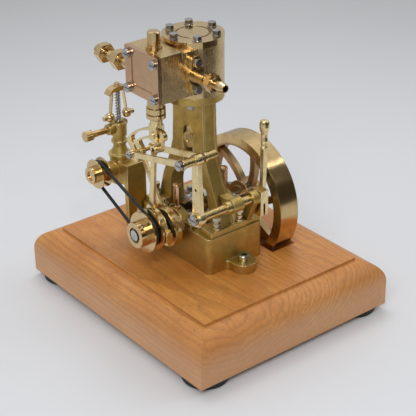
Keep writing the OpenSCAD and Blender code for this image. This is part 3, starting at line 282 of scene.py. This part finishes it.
def beech():
    """Planed beech: growth rings round a pith above one side, flecks, square sides painted paler
    low down as a reflection of the pale floor, and edges paler with wear and a painted highlight.
    """
    g = Material("beech")
    x, _, z = g.split(g.p)

    def along_grain(across, along, detail, rough):
        """Noise drawn out along y: its scale across the grain and along it, per millimetre."""
        return g.noise(g.vec("MULTIPLY", g.p, (across, along, across)), 1.0, detail, rough)

    sway = along_grain(0.03, 0.008, 2, 0.5)
    dx = g.num("ADD", x, g.num("MULTIPLY_ADD", sway, PITH_SWAY_X, -PITH_X))
    dz = g.num("SUBTRACT", z, g.num("MULTIPLY_ADD", sway, PITH_SWAY_Z, PITH_Z))
    wander = along_grain(0.10, 0.025, 2, 0.5)
    rings = g.num("MULTIPLY", g.hypot(dx, dz), GROWTH_RINGS_PER_MM)
    ring = g.num("FRACT", g.num("MULTIPLY_ADD", wander, 1.6, rings))
    late = g.num("MULTIPLY", g.fit(ring, 0.45, 0.96), g.fit(ring, 1.0, 0.98))
    fibre = along_grain(3.2, 0.16, 4, 0.65)
    streak = along_grain(0.45, 0.03, 3, 0.6)
    fleck = g.fit(along_grain(2.4, 0.5, 1, 0.4), 0.64, 0.72)
    tone = g.noise(g.p, 0.035, detail=3)
    base = g.mix(g.fit(tone, 0.35, 0.65), (0.57, 0.215, 0.034), (0.72, 0.32, 0.075))
    base = g.mix(g.fit(streak, 0.35, 0.7, 0.0, 0.6), base, (0.46, 0.165, 0.030))
    base = g.mix(g.fit(fibre, 0.35, 0.75, 0.0, 0.45), base, (0.40, 0.15, 0.032))
    base = g.mix(g.num("MULTIPLY", late, 0.5), base, (0.36, 0.13, 0.030))
    base = g.mix(g.num("MULTIPLY", fleck, 0.7), base, (0.25, 0.085, 0.022))
    # Painted reflection of the pale floor: the sides turn paler and pinker towards the bottom
    low = g.fit(z, PALE_FROM, PALE_TO, 0.0, 0.85, smooth=True)
    base = g.mix(low, base, g.mix(0.5, base, (0.74, 0.47, 0.28)))
    rounded = g.bevel(0.5)
    wear_and_highlight = g.edge_wear_and_highlight(rounded)
    # Edges paler: wear and a painted highlight
    base = g.mix(g.num("MULTIPLY", wear_and_highlight, 0.3), base, (0.62, 0.34, 0.14))
    height = g.num("MULTIPLY_ADD", fleck, -0.6, g.num("MULTIPLY", fibre, 0.7))
    surface = g.bump(height, 0.06, rounded)
    gloss = g.fit(fibre, 0.3, 0.8, 0.34, 0.5)
    return g.finish(base_color=base, roughness=gloss, normal=surface,
                    coat_weight=0.18, coat_roughness=0.25, ior=1.5)


def rubber(name, base, rough):
    """Black rubber with a little dust on it."""
    g = Material(name)
    dust = g.noise(g.p, 0.8, detail=4, rough=0.7)
    fine = g.noise(g.p, 6.0, detail=3, rough=0.6)
    dusty = tuple(c * 2.2 + 0.01 for c in base)
    colour = g.mix(g.fit(dust, 0.45, 0.8, 0.0, 0.5), base, dusty)
    surface = g.bump(fine, 0.04, g.bevel(0.3))
    gloss = g.fit(dust, 0.2, 0.8, rough - 0.1, rough + 0.12)
    return g.finish(base_color=colour, roughness=gloss, normal=surface, specular_ior_level=0.4)


looks = {}


def look(material, *names):
    """Give a material to the named CAD nodes."""
    for name in names:
        looks[name] = material


look(beech(), "base_board")
look(rubber("rubber", (0.016, 0.016, 0.017), 0.55), "rubber_feet")
look(rubber("belt", (0.012, 0.012, 0.013), 0.42), "drive_belt")
look(metal("cast_brass", CAST, CAST_DARK, 0.38, grain=0.05,
           stain=0.55, edge=0.7, edge_colour=CAST_EDGE),
     "bedplate", "column", "bearing_caps", "weighshaft_brackets", "governor_frame")
look(metal("machined_brass", GOLD, DEEP, 0.26, milled=(2.2, 2.2, 0.02),
           marks=0.01, stain=0.4, upright=True),
     "cylinder", "steam_chest")
look(metal("polished_cover", PINK, DEEP, 0.16, milled=(0.5, 0.3, 0.3),
           marks=0.03, stain=0.3, upright=True),
     "chest_cover")
look(metal("satin_brass", SATIN, DEEP, 0.24, milled=(0.5, 4.0, 2.0), marks=0.012, stain=0.35),
     "valve_fork", "ahead_rod", "astern_rod", "ahead_strap_cap", "astern_strap_cap",
     "big_end_cap", "crosshead", "slide_valve", "lifting_arm", "drag_links", "expansion_link",
     "reversing_lever", "governor_springs", "piston")
for name, origin, axis in (
        ("cylinder_cover", centre("cylinder_cover"), "Z"),
        ("crank_pulley", CRANK, "X"),
        ("governor_pulley", GOV_PULLEY, "X"),
        ("tail_guide", centre("tail_guide"), "Z"),
        ("exhaust_pipe", centre("exhaust_pipe"), "Y"),
        ("inlet_pipe", centre("inlet_pipe"), "Y"),
        ("governor_cap", GOVERNOR, "Z"),
        ("speed_knob", centre("speed_knob"), "X"),
        ("governor_weights", GOVERNOR, "Z"),
        ("gland_nuts", centre("tail_guide"), "Z"),
        ("union_nuts", centre("inlet_pipe"), "Y")):
    look(metal("turned_" + name, GOLD, DEEP, 0.15, turned=(origin, axis),
               marks=0.006, stain=0.3, edge=0.2), name)
look(metal("drawn_brass", (0.74, 0.57, 0.25), DEEP, 0.27, turned=(WEIGHSHAFT, "X"),
           marks=0.012, stain=0.35),
     "weighshaft", "lifting_pin")
look(metal("studs", (0.76, 0.66, 0.46), STEEL_DARK, 0.2, milled=(3.0, 3.0, 3.0),
           marks=0.01, stain=0.5),
     "stud_nuts")
look(metal("oil_cups", PINK, DEEP, 0.12, turned=(centre("oil_cups"), "Z"),
           marks=0.006, stain=0.3, edge=0.2),
     "oil_cups")
wheel_lo, wheel_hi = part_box("flywheel")
rim_inside = (wheel_hi[2] - wheel_lo[2]) / 2 / MM - RIM_DEPTH
look(metal("flywheel", (0.74, 0.53, 0.25), BROWN, 0.20, turned=(CRANK, "X"), marks=0.02,
           stain=0.6, edge=0.3, inside=rim_inside),
     "flywheel")
look(metal("bronze", (0.55, 0.34, 0.16), (0.3, 0.17, 0.07), 0.3, turned=(CRANK, "X")),
     "main_bushes", "ahead_liner", "astern_liner")
look(metal("steel", STEEL, STEEL_DARK, 0.20, milled=(3.0, 3.0, 3.0),
           marks=0.01, stain=0.6, edge=0.25),
     "bed_screws", "cover_bolts", "hex_bolts", "chest_cover_bolts", "crankshaft",
     "eccentric_sheaves", "connecting_rod", "big_end_bolts", "piston_rod", "valve_spindle",
     "die_block", "shaft_end_screws", "drag_link_screws", "governor_spindle", "governor_coil",
     "grub_screws")

for name, obj in nodes.items():
    obj.data.materials.clear()
    obj.data.materials.append(looks[name])


# Studio -----------------------------------------------------------------------------------

BACKDROP = 0.5                      # strength of the world as the camera sees it
WALL, CEILING = 0.50, 0.80          # and as reflections see it, level and overhead
CEILING_BAND = 0.1, 0.8             # heights of a direction between which wall turns to ceiling
ROOM_SIDE = (-0.25, -0.97, 0.0)     # towards the darker side of the room
SIDE_BAND = -0.1, 0.6               # how far round to that side the dark starts and is full
ROOM_DIM = 0.35                     # how much of the light is left there
FLOOR_FADE = 120, 700               # mm from the engine, where the floor turns greyer: the edge of a painted pool of light
FLOOR_HALF = 4.0                    # m


def floor_material():
    """Pale round the engine and greyer away from it, as in the picture: a painted pool of light.
    """
    g = Material("studio_floor")
    # Painted pool of light: the floor darkens with distance from the engine
    far = g.fit(g.vec("LENGTH", g.p), *FLOOR_FADE, smooth=True)
    tone = g.mix(far, (0.695, 0.706, 0.735), (0.405, 0.409, 0.417))
    faint = g.noise(g.p, 0.01, detail=3)
    tone = g.mix(g.fit(faint, 0.3, 0.7, 0.0, 0.12), tone, (0.62, 0.62, 0.63))
    return g.finish(base_color=tone, roughness=0.42)


def add_object(name, data):
    obj = bpy.data.objects.new(name, data)
    bpy.context.scene.collection.objects.link(obj)
    return obj


def make_floor():
    mesh = bpy.data.meshes.new("studio_floor")
    bm = bmesh.new()
    signs = (-1, -1), (1, -1), (1, 1), (-1, 1)
    bm.faces.new([bm.verts.new((sx * FLOOR_HALF, sy * FLOOR_HALF, 0)) for sx, sy in signs])
    bm.to_mesh(mesh)
    bm.free()
    mesh.materials.append(floor_material())
    add_object("studio_floor", mesh)


def softbox(name, place, target, size, power, tint=(1, 1, 1)):
    data = bpy.data.lights.new(name, "AREA")
    data.shape = "RECTANGLE"
    data.size, data.size_y = size
    data.energy = power
    data.color = tint
    obj = add_object(name, data)
    obj.location = place
    obj.rotation_euler = (Vector(target) - Vector(place)).to_track_quat("-Z", "Y").to_euler()


def make_world():
    """Plain pale grey to the eye.

    Reflections see a pale wall behind, a lit ceiling and a darker room in front.
    """
    world = bpy.data.worlds.new("studio")
    bpy.context.scene.world = world
    g = Graph(world)
    direction = g.coords.outputs["Generated"]
    height = g.vec("DOT_PRODUCT", direction, AXES["Z"])
    facing = g.vec("DOT_PRODUCT", direction, ROOM_SIDE)
    room = g.num("MULTIPLY", g.fit(height, *CEILING_BAND, WALL, CEILING, smooth=True),
                 g.fit(facing, *SIDE_BAND, 1.0, ROOM_DIM, smooth=True))
    seen = g.add("ShaderNodeLightPath").outputs["Is Camera Ray"]
    strength = g.add("ShaderNodeMix", data_type="FLOAT")
    for socket, value in zip(strength.inputs, (seen, None, room, BACKDROP)):
        g.put(socket, value)
    back = g.add("ShaderNodeBackground")
    g.put(back.inputs["Color"], (0.98, 0.99, 1.0))
    g.put(back.inputs["Strength"], strength.outputs[0])
    g.put(g.add("ShaderNodeOutputWorld").inputs[0], back.outputs[0])


def make_flag():
    """A dark card in front, seen only in reflections: it gives the bright metal its dark faces."""
    mesh = bpy.data.meshes.new("studio_flag")
    bm = bmesh.new()
    left, right, low, high, y = -0.02, 0.75, 0.033, 0.34, -0.165
    corners = (left, y, low), (right, y, low), (right, y, high), (left, y, high)
    bm.faces.new([bm.verts.new(v) for v in corners])
    bm.to_mesh(mesh)
    bm.free()
    obj = add_object("studio_flag", mesh)
    g = Material("studio_flag")
    mesh.materials.append(g.finish(base_color=(0.055, 0.043, 0.030), roughness=1.0))
    obj.visible_camera = obj.visible_diffuse = obj.visible_shadow = False


def make_camera():
    """The photograph's view: 38.3 degrees left of straight ahead, 27.9 above, with a long lens."""
    yaw, pitch, roll = (math.radians(a) for a in (38.276, 27.907, -0.656))
    aim = Vector((0, -0.0026, 0.0525))
    distance = 0.670
    ahead = Vector((math.sin(yaw) * math.cos(pitch),
                    math.cos(yaw) * math.cos(pitch),
                    -math.sin(pitch)))
    right = Vector((math.cos(yaw), -math.sin(yaw), 0))
    up = right.cross(ahead)
    rolled_right = right * math.cos(roll) + up * math.sin(roll)
    rolled_up = -right * math.sin(roll) + up * math.cos(roll)
    data = bpy.data.cameras.new("camera")
    data.lens, data.sensor_width = 109.6, 36
    data.clip_start, data.clip_end = 0.01, 20
    obj = add_object("camera", data)
    turn = Matrix((rolled_right, rolled_up, -ahead)).transposed().to_4x4()
    obj.matrix_world = Matrix.Translation(aim - ahead * distance) @ turn
    bpy.context.scene.camera = obj


make_floor()
make_world()
make_flag()
# Name, place, target and size in metres, power in watts, tint
softbox("key", (-0.75, -0.55, 0.85), (0, 0, 0.05), (0.40, 0.40), 4.2, (1.0, 0.98, 0.95))
softbox("fill", (0.75, -0.45, 0.70), (0, 0, 0.06), (0.30, 0.45), 1.2, (0.95, 0.98, 1.0))
softbox("top", (0.15, 0.35, 1.05), (0, 0, 0.05), (0.7, 0.35), 2.5)
softbox("spark", (-0.35, -0.62, 0.62), (0, 0, 0.06), (0.05, 0.05), 0.6, (1.0, 0.97, 0.92))
softbox("spark_right", (0.30, -0.66, 0.50), (0, 0, 0.06), (0.04, 0.04), 0.15, (1.0, 0.97, 0.92))
make_camera()
bpy.context.scene.view_settings.view_transform = "Standard"
